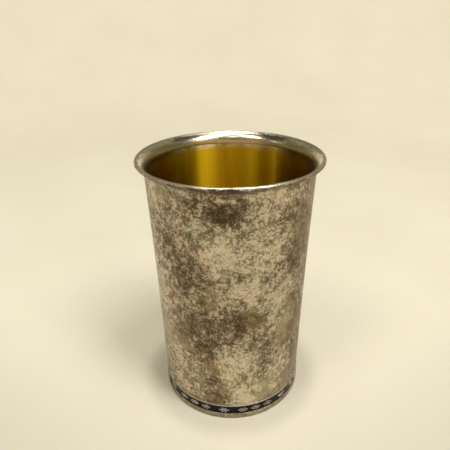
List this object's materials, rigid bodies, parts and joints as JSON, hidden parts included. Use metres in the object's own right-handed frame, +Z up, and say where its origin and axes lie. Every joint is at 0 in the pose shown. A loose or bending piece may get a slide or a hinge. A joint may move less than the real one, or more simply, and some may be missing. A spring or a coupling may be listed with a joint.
{
  "type": "shot cup",
  "caption": "Small tapered silver beaker with a flared lip, gilded inside, with a black enamel ornament band and a plain foot ring.",
  "frame": {"origin": "centre of the foot ring's underside, on the cup's axis", "axes": "+Z up the cup's axis to its mouth; -Y is the front, with a rosette of the ornament band 6.5 degrees to its left"},
  "size_m": [0.0436, 0.0436, 0.064],
  "materials": {
    "tarnished_silver": "silver, mottled brown-grey tarnish with rubbed bright patches, polished at the lip",
    "gilding": "gold plating, polished, worn at its upper edge",
    "base_silver": "silver, satin, tarnished and scuffed",
    "strip_silver": "silver, semi-bright raised lines",
    "black_enamel": "black vitreous enamel, glossy",
    "foot_silver": "silver, rubbed, lightly tarnished",
    "silver_solder": "silver solder, dull grey"
  },
  "bodies": {
    "root": {"cup_body": "tarnished_silver", "gilt_lining": "gilding", "bottom_plate": "base_silver", "motif_strip": "strip_silver", "enamel_fill": "black_enamel", "foot_ring": "foot_silver", "solder_bead": "silver_solder"}
  },
  "joints": []
}
